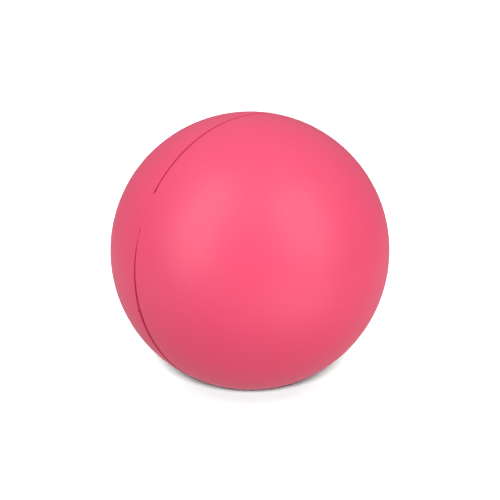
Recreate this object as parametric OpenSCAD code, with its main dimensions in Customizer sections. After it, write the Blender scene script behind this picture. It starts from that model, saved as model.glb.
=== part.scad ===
// Squeezable foam stress ball, moulded in two halves.
// The origin is the ball's centre, +Z is up and the mould opened along X, so the parting line is the
// great circle in the plane X = 0.

/* [Ball] */
// Diameter of the ball over its skin
ball_d = 63; // [50:1:80]
// Diameter of the flat that the soft ball's own weight presses into its underside
rest_flat_d = 7; // [5:0.5:9]

/* [Skin] */
// Thickness of the moulded skin over the foam
skin_t = 0.5; // [0.4:0.05:1]

/* [Parting line] */
// Width of the crease along the parting line, at the ball's surface
crease_w = 0.6; // [0.6:0.05:0.9]
// Depth of the crease below the ball's surface, at most half its width
crease_depth = 0.3; // [0.15:0.05:0.3]
// Thickness of the web of trimmed foam between the edges of the two skins
flash_t = 0.2; // [0.1:0.05:0.3]

/* [Hidden] */
$fn = 180;

ball_r = ball_d / 2;
// The foam fills the skins, and the web of flash stops at the crease's floor
core_r = ball_r - skin_t;
flash_r = ball_r - crease_depth;
// The rest flat lies this far below the ball's centre, and the foam and the web are pressed in with it
rest_drop = sqrt(ball_r ^ 2 - (rest_flat_d / 2) ^ 2);
core_drop = rest_drop - skin_t;
flash_drop = rest_drop - crease_depth;
// The crease is a round groove: its section's radius follows from its width and depth
crease_r = (crease_w ^ 2 / 4 + crease_depth ^ 2) / (2 * crease_depth);
skin_colour = [1, 0.35, 0.49];
foam_colour = [0.98, 0.93, 0.86];
flash_colour = [0.78, 0.16, 0.32];

// What is left of the children above a flat at this depth below the centre
module pressed_flat(drop) {
    intersection() {
        children();
        translate([-ball_d, -ball_d, -drop])
            cube([2 * ball_d, 2 * ball_d, 2 * ball_d]);
    }
}

// The solid ball of foam that the skins enclose
module core_ball() {
    pressed_flat(core_drop)
        sphere(r = core_r);
}

// A disc across the mould's parting plane, as thick as the web of flash
module parting_disc(r) {
    rotate([0, 90, 0])
        cylinder(r = r, h = flash_t, center = true);
}

// The round groove that runs once round the ball along the parting line
module crease() {
    rotate([0, 90, 0])
        rotate_extrude()
            translate([flash_r + crease_r, 0])
                circle(r = crease_r, $fn = 64);
}

// One mould half's skin: a bowl of pigmented polyurethane, with half of the crease along its edge
module skin() {
    color(skin_colour)
        difference() {
            intersection() {
                pressed_flat(rest_drop)
                    sphere(r = ball_r);
                translate([flash_t / 2, -ball_d, -ball_d])
                    cube([ball_d, 2 * ball_d, 2 * ball_d]);
            }
            core_ball();
            crease();
        }
}

module front_skin() {
    skin();
}

module rear_skin() {
    mirror([1, 0, 0])
        skin();
}

// The ball of soft open-celled foam that rose inside the two skins and bonded to them
module foam_core() {
    color(foam_colour)
        core_ball();
}

// The thin web of dense foam that was squeezed between the mould halves, cut off at the crease's floor
module parting_flash() {
    color(flash_colour)
        difference() {
            pressed_flat(flash_drop)
                parting_disc(flash_r);
            pressed_flat(core_drop)
                parting_disc(core_r);
        }
}

front_skin();
rear_skin();
foam_core();
parting_flash();
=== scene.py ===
import math

import bpy
import numpy as np
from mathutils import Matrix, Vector


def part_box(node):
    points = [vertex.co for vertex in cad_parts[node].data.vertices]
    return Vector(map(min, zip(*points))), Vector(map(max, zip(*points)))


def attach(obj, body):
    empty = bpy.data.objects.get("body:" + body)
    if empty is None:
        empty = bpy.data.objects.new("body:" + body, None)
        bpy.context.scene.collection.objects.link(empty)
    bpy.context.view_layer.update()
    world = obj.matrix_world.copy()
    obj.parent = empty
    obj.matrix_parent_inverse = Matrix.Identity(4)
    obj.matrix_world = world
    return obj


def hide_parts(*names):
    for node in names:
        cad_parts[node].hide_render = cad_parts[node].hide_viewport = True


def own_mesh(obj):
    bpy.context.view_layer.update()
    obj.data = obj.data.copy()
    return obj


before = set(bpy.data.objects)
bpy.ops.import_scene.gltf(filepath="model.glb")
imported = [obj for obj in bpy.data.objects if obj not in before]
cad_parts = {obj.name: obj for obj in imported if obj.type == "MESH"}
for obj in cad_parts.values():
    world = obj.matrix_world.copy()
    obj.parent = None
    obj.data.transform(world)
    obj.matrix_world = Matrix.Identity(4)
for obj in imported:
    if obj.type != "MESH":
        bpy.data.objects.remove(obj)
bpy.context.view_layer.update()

# ---- Camera --------------------------------------------------------------------------------------
# A long lens looks a little down at the middle of the ball. The parting line lies in the plane
# X = 0, so an azimuth of 53 degrees shows most of the front skin.
BALL_R = round(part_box("front_skin")[1].z, 4)
CAMERA_AZIMUTH = math.radians(52.9)
CAMERA_ELEVATION = math.radians(16.2)
CAMERA_DISTANCE = 15.1 * BALL_R
HALF_FIELD = 0.1187     # tangent of half the angle that the frame takes in

back = Vector((
    math.sin(CAMERA_AZIMUTH) * math.cos(CAMERA_ELEVATION),
    -math.cos(CAMERA_AZIMUTH) * math.cos(CAMERA_ELEVATION),
    math.sin(CAMERA_ELEVATION),
))
camera_data = bpy.data.cameras.new("camera")
camera_data.lens = camera_data.sensor_width / (2 * HALF_FIELD)
camera_data.clip_start = 0.01
camera = bpy.data.objects.new("camera", camera_data)
camera.location = CAMERA_DISTANCE * back
camera.rotation_euler = back.to_track_quat("Z", "Y").to_euler()
bpy.context.scene.collection.objects.link(camera)
bpy.context.scene.camera = camera

# ---- Front and rear skins ------------------------------------------------------------------------
# Each is a bowl of polyurethane coating, sprayed into one half of the mould before the foam was
# poured, so it copies the mould's satin wall and is bonded to the foam. Where the halves met, its
# edge rolls down into the crease, wider and deeper in some stretches than in others.
SKIN_T = BALL_R - round(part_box("foam_core")[1].x, 4)
WEB_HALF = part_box("parting_flash")[1].x
REST_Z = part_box("front_skin")[0].z
SINK = 0.0002           # how far the soft ball settles under its own weight
WAVER = 0.00004         # height of the slow unevenness that demoulding leaves in soft foam
WAVES = (               # that unevenness: waves along X, Y and Z in radians per ball radius, and start
    (2.1, 3.3, 0, 0.4),
    (-1.9, 0, 3.7, 1.3),
    (0, 4.3, 2.6, 2.2),
)
DEEPEST = 0.00046       # the crease's depth at its deepest nick

# How the crease changes round the ball. Each row is an angle in degrees from the top towards -Y,
# the crease's depth, and the width of the front and the rear skin's rolled edge, all in mm.
CREASE = (
    (-60, 0.12, 0.26, 0.22),
    (-20, 0.20, 0.32, 0.26),
    (15, 0.24, 0.40, 0.30),
    (35, 0.28, 0.46, 0.34),
    (53.8, 0.24, 0.38, 0.28),
    (54.6, 0.34, 0.60, 0.50),
    (55.6, 0.34, 0.60, 0.50),
    (56.4, 0.015, 0.12, 0.12),
    (70.5, 0.02, 0.14, 0.12),
    (71.8, 0.14, 0.30, 0.24),
    (73.5, 0.06, 0.18, 0.14),
    (84, 0.22, 0.36, 0.20),
    (98, 0.32, 0.75, 0.24),
    (104.7, 0.34, 0.80, 0.24),
    (105.3, 0.46, 0.95, 0.75),
    (106.5, 0.46, 0.95, 0.75),
    (107.2, 0.40, 1.20, 0.26),
    (130, 0.40, 1.40, 0.26),
    (160, 0.28, 0.70, 0.22),
    (200, 0.18, 0.32, 0.22),
    (238, 0.16, 0.28, 0.22),
    (240, 0.03, 0.14, 0.12),
    (262, 0.03, 0.14, 0.12),
    (264, 0.14, 0.26, 0.20),
    (300, 0.10, 0.24, 0.20),
)
COLUMNS = 800           # steps round the ball
OUTER_ROWS = 58         # steps from the pole to the rolled edge
LIP_ROWS = 12           # steps over the rolled edge
EDGE_ROWS = 3           # steps down the edge that faces the web of flash
INNER_ROWS = 18         # steps from that edge to the inner pole


def crease_at(angle):
    """(depth, front lip, rear lip) in metres at angles in radians from the top towards -Y, read
    off CREASE with straight lines between its rows."""
    rows = np.array(CREASE)
    degrees = np.mod(np.degrees(angle) - rows[0, 0], 360) + rows[0, 0]
    closed = np.vstack([rows, rows[0] + [360, 0, 0, 0]])
    return [np.interp(degrees, closed[:, 0], closed[:, k]) / 1000 for k in (1, 2, 3)]


def pressed(points, lift):
    """The points of the ball as it stands: the mean of the sine WAVES moves them along their
    radius, the ball's height shrinks by SINK, and nothing lies lower than REST_Z + lift."""
    x, y, z = np.moveaxis(points / BALL_R, -1, 0)
    wave = sum(np.sin(by_x * x + by_y * y + by_z * z + start) for by_x, by_y, by_z, start in WAVES)
    out = points * (1 + WAVER * wave / len(WAVES) / BALL_R)[..., None]
    out[..., 2] -= SINK * (out[..., 2] + BALL_R) / (2 * BALL_R)
    out[..., 2] = np.maximum(out[..., 2], REST_Z + lift)
    return out


def turned(angle, radius, x):
    """Points x along the X axis and radius from it, angle radians from the top towards -Y."""
    return np.stack([x + 0 * angle, -radius * np.sin(angle), radius * np.cos(angle)], -1)


def shown(name, points, faces):
    """A smooth mesh object at the origin from arrays of points and groups of faces."""
    faces = [face for group in faces for face in group.tolist()]
    mesh = bpy.data.meshes.new(name)
    mesh.from_pydata(points.tolist(), [], faces)
    mesh.polygons.foreach_set("use_smooth", np.ones(len(faces), bool))
    mesh.update()
    piece = bpy.data.objects.new(name, mesh)
    bpy.context.scene.collection.objects.link(piece)
    return piece


def closed_lathe(name, rings, side):
    """A closed mesh from rings, an array of (rows, columns, 3) points whose first and last rows are
    one point each. Quads join each row to the next and a fan of triangles closes each end; side is
    -1 where the rings run the other way along the axis, which turns every face round."""
    rows, columns = rings.shape[:2]
    points = np.vstack([rings[0, :1], rings[1:-1].reshape(-1, 3), rings[-1, :1]])
    here = 1 + np.arange(rows - 2)[:, None] * columns + np.arange(columns)
    right = np.roll(here, -1, 1)
    quads = np.stack([here[:-1], right[:-1], right[1:], here[1:]], -1).reshape(-1, 4)
    start = np.stack([0 * here[0], right[0], here[0]], -1)
    end = np.stack([0 * here[-1] + len(points) - 1, here[-1], right[-1]], -1)
    return shown(name, points, [faces[:, ::side] for faces in (quads, start, end)])


def skin_rings(side):
    """Rings of one skin, outside and inside, from its outer pole over the rolled edge to its inner
    pole, and how far each point lies down the crease as a share of DEEPEST. Outside the edge a point
    lies on the ball; over the edge the profile is a quarter of an ellipse, as wide as the lip and as
    deep as the crease; inside, it lies on the foam."""
    angle = np.arange(COLUMNS) * 2 * math.pi / COLUMNS
    depth, front_lip, rear_lip = crease_at(angle)
    lip = front_lip if side > 0 else rear_lip
    rim = WEB_HALF + lip
    share = np.linspace(0, 1, OUTER_ROWS + 1)[:, None]
    latitude = math.pi / 2 + share * (np.arcsin(rim / BALL_R) - math.pi / 2)
    outer = turned(angle + 0 * latitude, BALL_R * np.cos(latitude), side * BALL_R * np.sin(latitude))

    bend = np.linspace(0, math.pi / 2, LIP_ROWS + 1)[1:, None]
    x = rim - lip * np.sin(bend)
    fall = depth * (1 - np.cos(bend))
    lip_rings = turned(angle + 0 * bend, np.sqrt(BALL_R ** 2 - x ** 2) - fall, side * x)

    inner_r = BALL_R - SKIN_T
    down = np.linspace(0, 1, EDGE_ROWS + 1)[1:, None]
    radius = (1 - down) * (BALL_R - depth) + down * inner_r
    edge = turned(angle + 0 * down, radius, side * WEB_HALF + 0 * radius)

    latitude = np.linspace(np.arcsin(WEB_HALF / inner_r), math.pi / 2, INNER_ROWS + 1)[1:, None]
    inner = turned(angle + 0 * latitude, inner_r * np.cos(latitude), side * inner_r * np.sin(latitude))
    sunk = np.zeros((OUTER_ROWS + 1 + LIP_ROWS + EDGE_ROWS + INNER_ROWS, COLUMNS))
    sunk[OUTER_ROWS + 1:OUTER_ROWS + 1 + LIP_ROWS] = fall / DEEPEST
    sunk[OUTER_ROWS + 1 + LIP_ROWS:OUTER_ROWS + 1 + LIP_ROWS + EDGE_ROWS] = depth / DEEPEST
    outside = pressed(np.concatenate([outer, lip_rings]), 0)
    inside = pressed(np.concatenate([edge, inner]), SKIN_T)
    return outside, inside, sunk


def linear(hex_colour):
    """An sRGB hex colour as linear RGBA."""
    channels = [int(hex_colour[k:k + 2], 16) / 255 for k in (1, 3, 5)]
    return [c / 12.92 if c <= 0.04045 else ((c + 0.055) / 1.055) ** 2.4 for c in channels] + [1]


def add(tree, kind, inputs=(), **settings):
    """A node of a kind with its settings. Inputs maps an input's name or number to its value, or to
    the output socket that it is linked to."""
    node = tree.nodes.new(kind)
    for key, value in settings.items():
        setattr(node, key, value)
    for key, value in dict(inputs).items():
        if isinstance(value, bpy.types.NodeSocket):
            tree.links.new(value, node.inputs[key])
        else:
            node.inputs[key].default_value = value
    return node


def new_material(name):
    """A material with an empty tree: the material and the tree."""
    material = bpy.data.materials.new(name)
    material.use_nodes = True
    material.node_tree.nodes.clear()
    return material, material.node_tree


# Moulded satin polyurethane: the coating took the blasted mould's fine grain, so its gloss spreads
# into broad soft patches, and its pigment varies by a few per cent where the spray overlapped. Down
# its rolled edge into the crease it is painted a darker, more saturated pink as painted shade.
PINK = "#F74B72"
THIN_PINK = "#F65177"
# Painted shade: the darker, more saturated pink down the rolled edges into the crease.
CREASE_SHADE_PINK = "#D4184A"
BLOTCH = 0.007          # across a patch of thicker or thinner spray
PEEL = 0.0011           # from one hump of the orange peel to the next
PEEL_HEIGHT = 0.000012
FULL_CREASE_SHADE = 0.18        # how far down the crease, as a share of DEEPEST, its painted shade is at its fullest

# Darker pink spots on the skins; the second is painted shade in the nick in the rear skin's edge. Each
# row is degrees from the plane X = 0 towards +X, degrees from the top towards -Y, the mark's radius in
# mm, and how much of the crease's painted shade pink it shows.
MARKS = (
    (-14.1, 19.6, 0.32, 0.35),
    (-0.8, 105.9, 0.60, 1.00),
    (5.6, 109.1, 0.30, 0.30),
    (-14.9, 30.5, 2.60, 0.08),
)
BUBBLE = (57.5, 22.0)   # the place of the ring that a burst bubble left, in the same degrees
BUBBLE_R = 0.00050      # to the middle of the ring's wall
BUBBLE_WALL = 0.00030
BUBBLE_TINT = 0.16      # how much of the crease's pink the ring shows
BUBBLE_DENT = 1.5       # the ring's depth as a share of the orange peel's height


def on_ball(latitude, angle):
    """The point of the ball latitude degrees from X = 0 and angle degrees from the top towards -Y."""
    latitude, angle = math.radians(latitude), math.radians(angle)
    point = turned(np.array(angle), BALL_R * math.cos(latitude), BALL_R * math.sin(latitude))
    return pressed(point[None], 0)[0].tolist()


satin, tree = new_material("moulded_satin_polyurethane")
place = add(tree, "ShaderNodeTexCoord").outputs["Object"]
blotches = add(tree, "ShaderNodeTexNoise", {"Vector": place, "Scale": 1 / BLOTCH, "Detail": 5}).outputs["Fac"]
# How much of the crease's painted shade pink each point takes: down the rolled edge, at the nick, and at the
# spots and the bubble's ring.
tint = add(tree, "ShaderNodeAttribute", attribute_name="sunk").outputs["Fac"]
tint = add(tree, "ShaderNodeMapRange", {"Value": tint, "From Max": FULL_CREASE_SHADE}).outputs["Result"]
for latitude, angle, radius, share in MARKS:
    away = add(tree, "ShaderNodeVectorMath", {0: place, 1: on_ball(latitude, angle)}, operation="DISTANCE")
    mark = add(tree, "ShaderNodeMapRange", {
        "Value": away.outputs["Value"], "From Max": radius / 1000, "To Min": share, "To Max": 0,
    }, interpolation_type="SMOOTHSTEP").outputs["Result"]
    tint = add(tree, "ShaderNodeMath", {0: tint, 1: mark}, operation="MAXIMUM").outputs["Value"]
away = add(tree, "ShaderNodeVectorMath", {0: place, 1: on_ball(*BUBBLE)}, operation="DISTANCE")
off_wall = add(tree, "ShaderNodeMath", {0: away.outputs["Value"], 1: BUBBLE_R}, operation="SUBTRACT")
off_wall = add(tree, "ShaderNodeMath", {0: off_wall.outputs["Value"]}, operation="ABSOLUTE")
ring = add(tree, "ShaderNodeMapRange", {
    "Value": off_wall.outputs["Value"], "From Max": BUBBLE_WALL / 2, "To Min": 1, "To Max": 0,
}, interpolation_type="SMOOTHSTEP").outputs["Result"]
ring_tint = add(tree, "ShaderNodeMath", {0: ring, 1: BUBBLE_TINT}, operation="MULTIPLY").outputs["Value"]
tint = add(tree, "ShaderNodeMath", {0: tint, 1: ring_tint}, operation="MAXIMUM").outputs["Value"]
sprayed = add(tree, "ShaderNodeMix", {0: blotches, 6: linear(PINK), 7: linear(THIN_PINK)}, data_type="RGBA")
pigment = add(tree, "ShaderNodeMix", {
    0: tint, 6: sprayed.outputs[2], 7: linear(CREASE_SHADE_PINK),
}, data_type="RGBA")
gloss = add(tree, "ShaderNodeMapRange", {"Value": blotches, "To Min": 0.39, "To Max": 0.45})
peel = add(tree, "ShaderNodeTexNoise", {"Vector": place, "Scale": 1 / PEEL, "Detail": 2}).outputs["Fac"]
height = add(tree, "ShaderNodeMath", {0: ring, 1: -BUBBLE_DENT, 2: peel}, operation="MULTIPLY_ADD")
bump = add(tree, "ShaderNodeBump", {"Height": height.outputs["Value"], "Distance": PEEL_HEIGHT})
shader = add(tree, "ShaderNodeBsdfPrincipled", {
    "Base Color": pigment.outputs[2], "Roughness": gloss.outputs["Result"], "IOR": 1.5,
    "Normal": bump.outputs["Normal"],
})
add(tree, "ShaderNodeOutputMaterial", {"Surface": shader.outputs["BSDF"]})

for name, body, joint, side in (
    ("front_skin", "front_half", "squeeze_front", 1),
    ("rear_skin", "rear_half", "squeeze_rear", -1),
):
    outside, inside, sunk = skin_rings(side)
    piece = closed_lathe("moulded_" + name, np.concatenate([outside, inside]), side)
    sunk = np.concatenate([sunk[0, :1], sunk[1:-1].ravel(), sunk[-1, :1]])
    piece.data.attributes.new("sunk", "FLOAT", "POINT").data.foreach_set("value", sunk)
    piece.data.materials.append(satin)
    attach(piece, body)
    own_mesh(piece)
    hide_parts(name)

# ---- Parting flash -------------------------------------------------------------------------------
# The web of dense foam that was squeezed out between the mould halves. It was cut off with a knife
# after moulding, so it ends, a little ragged, at the floor of the crease.
WEB_BELOW = 0.00001     # from the skins' rolled edges down to the cut
WEB_SCALLOP = 0.00002   # how much lower the middle of the cut lies than its sides
RAGGED = 0.000008       # height of the cut's raggedness
RAGGED_WAVES = (173, 61)    # waves of it round the ball, one set broken up by the other
CUT_ROWS = 9            # steps across the cut
WEB_LIFT = 0.0003       # keeps the web inside the skins where the ball rests
inner_r = BALL_R - SKIN_T


def trimmed_web():
    """Rings of the web round its section: across the cut, a shallow parabola made ragged by two sine
    waves along the crease, then down one side to the foam, back under it, and up."""
    angle = np.arange(COLUMNS) * 2 * math.pi / COLUMNS
    across = np.linspace(-1, 1, CUT_ROWS)[:, None]
    fine, coarse = RAGGED_WAVES
    ragged = np.sin(fine * angle + 2 * across) * np.sin(coarse * angle + 1.1)
    depth = crease_at(angle)[0]
    cut = BALL_R - depth - WEB_BELOW + (RAGGED * ragged - WEB_SCALLOP) * (1 - across ** 2)
    top = turned(angle + 0 * across, cut, across * WEB_HALF)
    foot = turned(angle + np.zeros((2, 1)), inner_r + 0 * cut[:2], np.array([[1], [-1]]) * WEB_HALF)
    return pressed(np.concatenate([top, foot]), WEB_LIFT), depth / DEEPEST + np.zeros((CUT_ROWS + 2, 1))


def closed_ring(name, rings):
    """A closed mesh from a loop of rings: rows run round the section, and the last joins the first."""
    rows, columns = rings.shape[:2]
    here = np.arange(rows * columns).reshape(rows, columns)
    below, right = np.roll(here, -1, 0), np.roll(here, -1, 1)
    quads = np.stack([here, right, np.roll(below, -1, 1), below], -1).reshape(-1, 4)
    return shown(name, rings.reshape(-1, 3), [quads])


# Cut dense polyurethane: the knife opened its fine cells, so it is matt; its pink is deeper than the
# coating's, partly as painted shade at the floor of the crease. Where the crease is shallow the coating has
# closed over it.
CUT_PINK = "#E41A44"
PIT_SHADE_PINK = "#C4103A"    # painted shade at the bottom of an opened cell
CELL = 0.00025          # across a cell of the dense foam
CELL_DEPTH = 0.00001
COATED, BARE = 0.06, 0.35   # depths of the crease, as shares of DEEPEST, that are coated and bare
cut_foam, tree = new_material("cut_dense_polyurethane")
place = add(tree, "ShaderNodeTexCoord").outputs["Object"]
cells = add(tree, "ShaderNodeTexVoronoi", {"Vector": place, "Scale": 1 / CELL}).outputs["Distance"]
pits = add(tree, "ShaderNodeMix", {0: cells, 6: linear(PIT_SHADE_PINK), 7: linear(CUT_PINK)}, data_type="RGBA")
bared = add(tree, "ShaderNodeAttribute", attribute_name="sunk").outputs["Fac"]
bared = add(tree, "ShaderNodeMapRange", {
    "Value": bared, "From Min": COATED, "From Max": BARE,
}).outputs["Result"]
pits = add(tree, "ShaderNodeMix", {0: bared, 6: linear(PINK), 7: pits.outputs[2]}, data_type="RGBA")
bump = add(tree, "ShaderNodeBump", {"Height": cells, "Distance": CELL_DEPTH})
shader = add(tree, "ShaderNodeBsdfPrincipled", {
    "Base Color": pits.outputs[2], "Roughness": 0.75, "IOR": 1.5, "Normal": bump.outputs["Normal"],
})
add(tree, "ShaderNodeOutputMaterial", {"Surface": shader.outputs["BSDF"]})

rings, sunk = trimmed_web()
web = closed_ring("trimmed_flash", rings)
web.data.attributes.new("sunk", "FLOAT", "POINT").data.foreach_set("value", sunk.ravel())
web.data.materials.append(cut_foam)
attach(web, "core")
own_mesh(web)
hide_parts("parting_flash")

# ---- Foam core -----------------------------------------------------------------------------------
# The soft open-celled polyurethane foam that was poured between the two skins, rose to fill them and
# bonded to them. Its outside is pocked where bubbles met the skins.
CORE_GAP = 0.00001      # keeps the foam from showing through its skin
PORE = 0.0024           # from one pocket to the next, drawn about three times too coarse so it shows
PORE_DEPTH = 0.00015
PORE_WARP = 1.3         # how far the pockets stray from a regular pattern, in radians
WARP_RATES = (0.31, 0.27, 0.35)
CORE_COLUMNS = 400
CORE_ROWS = 200


def risen_foam():
    """Rings from the pole at +X to the pole at -X. The radius drops into pockets where a warped gyroid
    sin x cos y + sin y cos z + sin z cos x is above nought."""
    angle = np.arange(CORE_COLUMNS) * 2 * math.pi / CORE_COLUMNS
    latitude = np.linspace(math.pi / 2, -math.pi / 2, CORE_ROWS + 1)[:, None]
    core_r = inner_r - CORE_GAP
    points = turned(angle + 0 * latitude, core_r * np.cos(latitude), core_r * np.sin(latitude))
    x, y, z = np.moveaxis(points * 2 * math.pi / PORE, -1, 0)
    by_y, by_z, by_x = WARP_RATES
    x, y, z = (x + PORE_WARP * np.sin(by_y * y), y + PORE_WARP * np.sin(by_z * z),
               z + PORE_WARP * np.sin(by_x * x))
    gyroid = np.sin(x) * np.cos(y) + np.sin(y) * np.cos(z) + np.sin(z) * np.cos(x)
    pocket = np.clip(gyroid, 0, 1)
    return pressed(points * (1 - PORE_DEPTH / core_r * pocket)[..., None], SKIN_T + CORE_GAP)


# Open-celled polyurethane foam: undyed and matt, its broken cells drawn with painted shade dark inside
# and painted light on their lighter edges.
FOAM_CELL = 0.0008
FOAM_CELL_DEPTH = 0.0002
CELL_SHADE = "#CDBB9E"
LIT_CELL_EDGE = "#F7EEDF"
foam, tree = new_material("open_celled_foam")
place = add(tree, "ShaderNodeTexCoord").outputs["Object"]
cells = add(tree, "ShaderNodeTexVoronoi", {"Vector": place, "Scale": 1 / FOAM_CELL}).outputs["Distance"]
walls = add(tree, "ShaderNodeMix", {0: cells, 6: linear(CELL_SHADE), 7: linear(LIT_CELL_EDGE)}, data_type="RGBA")
bump = add(tree, "ShaderNodeBump", {"Height": cells, "Distance": FOAM_CELL_DEPTH})
shader = add(tree, "ShaderNodeBsdfPrincipled", {
    "Base Color": walls.outputs[2], "Roughness": 0.9, "IOR": 1.45, "Normal": bump.outputs["Normal"],
})
add(tree, "ShaderNodeOutputMaterial", {"Surface": shader.outputs["BSDF"]})

core = closed_lathe("risen_foam_core", risen_foam(), 1)
core.data.materials.append(foam)
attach(core, "core")
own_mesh(core)
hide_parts("foam_core")

# ---- Floor ---------------------------------------------------------------------------------------
# A wide sheet of matt card. The lights on the ball hardly show on its dark grey; two lamps that shine
# on nothing else make it plain white but for the ball's own shadow. It throws nothing back at the ball.
FLOOR_HALF = 1.5
FLOOR_GREY = 0.1
corners = np.array([(-1, -1, 0), (1, -1, 0), (1, 1, 0), (-1, 1, 0)]) * FLOOR_HALF + [0, 0, REST_Z]
floor = shown("floor", corners, [np.arange(4)[None]])
card, tree = new_material("matt_card")
shader = add(tree, "ShaderNodeBsdfPrincipled", {
    "Base Color": (FLOOR_GREY, FLOOR_GREY, FLOOR_GREY, 1), "Roughness": 1, "Specular IOR Level": 0,
})
add(tree, "ShaderNodeOutputMaterial", {"Surface": shader.outputs["BSDF"]})
floor.data.materials.append(card)
floor.visible_diffuse = False
floor.visible_glossy = False
floor.visible_shadow = False
floor_alone = bpy.data.collections.new("floor_alone")
floor_alone.objects.link(floor)

# The floor's lamps: a wide soft one overhead, and a low one in front. Each row is degrees above the
# floor on the camera's side, the degrees that the lamp spans, and its strength.
ahead = Vector((math.sin(CAMERA_AZIMUTH), -math.cos(CAMERA_AZIMUTH), 0))
for name, above, span, strength in (
    ("floor_overhead", 90, 100, 34),
    ("floor_front", 24, 10, 66),
):
    above = math.radians(above)
    way = math.cos(above) * ahead + Vector((0, 0, math.sin(above)))
    lamp = bpy.data.lights.new(name, "SUN")
    lamp.energy = strength
    lamp.angle = math.radians(span)
    sun = bpy.data.objects.new(name, lamp)
    sun.rotation_euler = way.to_track_quat("Z", "Y").to_euler()
    sun.light_linking.receiver_collection = floor_alone
    bpy.context.scene.collection.objects.link(sun)

# ---- Light ---------------------------------------------------------------------------------------
# Two tall softboxes in front of the ball, one to each side, in a pale room that is a little dimmer
# at eye level than above and below. The third, low in front, is the light that a pale table throws
# back up, with some of the ball's own pink in it. Each row is degrees round from the camera, degrees
# above the ball's middle, width and height in metres, brightness, and colour.
BOX_DISTANCE = 0.7
ROOM = ((0, 0.46), (0.1, 0.42), (0.35, 0.59), (0.5, 0.26), (1, 0.59))   # (0 down to 1 up, brightness)
right = Vector((math.cos(CAMERA_AZIMUTH), math.sin(CAMERA_AZIMUTH), 0))
for name, round_by, above, width, height, radiance, colour in (
    ("left_softbox", -48.5, 31.3, 0.43, 1.08, 2.40, (0.91, 1, 1)),
    ("right_softbox", 50.5, 31.1, 0.50, 0.80, 2.10, (0.91, 1, 1)),
    ("table_bounce", 40, -24.5, 0.70, 0.49, 1.20, (1, 0.73, 0.73)),
):
    round_by, above = math.radians(round_by), math.radians(above)
    way = math.cos(above) * (math.sin(round_by) * right + math.cos(round_by) * ahead)
    way += Vector((0, 0, math.sin(above)))
    lamp = bpy.data.lights.new(name, "AREA")
    lamp.shape = "RECTANGLE"
    lamp.size = width
    lamp.size_y = height
    lamp.energy = radiance * math.pi * width * height
    lamp.color = colour
    box = bpy.data.objects.new(name, lamp)
    box.location = BOX_DISTANCE * way
    box.rotation_euler = way.to_track_quat("Z", "Y").to_euler()
    box.visible_camera = False
    bpy.context.scene.collection.objects.link(box)

world = bpy.data.worlds.new("pale_room")
bpy.context.scene.world = world
world.use_nodes = True
tree = world.node_tree
tree.nodes.clear()
way = add(tree, "ShaderNodeSeparateXYZ", {0: add(tree, "ShaderNodeTexCoord").outputs["Generated"]})
rise = add(tree, "ShaderNodeMapRange", {"Value": way.outputs["Z"], "From Min": -1, "From Max": 1})
room = add(tree, "ShaderNodeValToRGB", {"Fac": rise.outputs["Result"]})
room.color_ramp.elements.remove(room.color_ramp.elements[1])
for place, grey in ROOM:
    stop = room.color_ramp.elements.new(place) if place else room.color_ramp.elements[0]
    stop.color = (grey, grey, grey, 1)
shader = add(tree, "ShaderNodeBackground", {"Color": room.outputs["Color"], "Strength": 1})
add(tree, "ShaderNodeOutputWorld", {"Surface": shader.outputs["Background"]})

bpy.context.scene.view_settings.view_transform = "Standard"
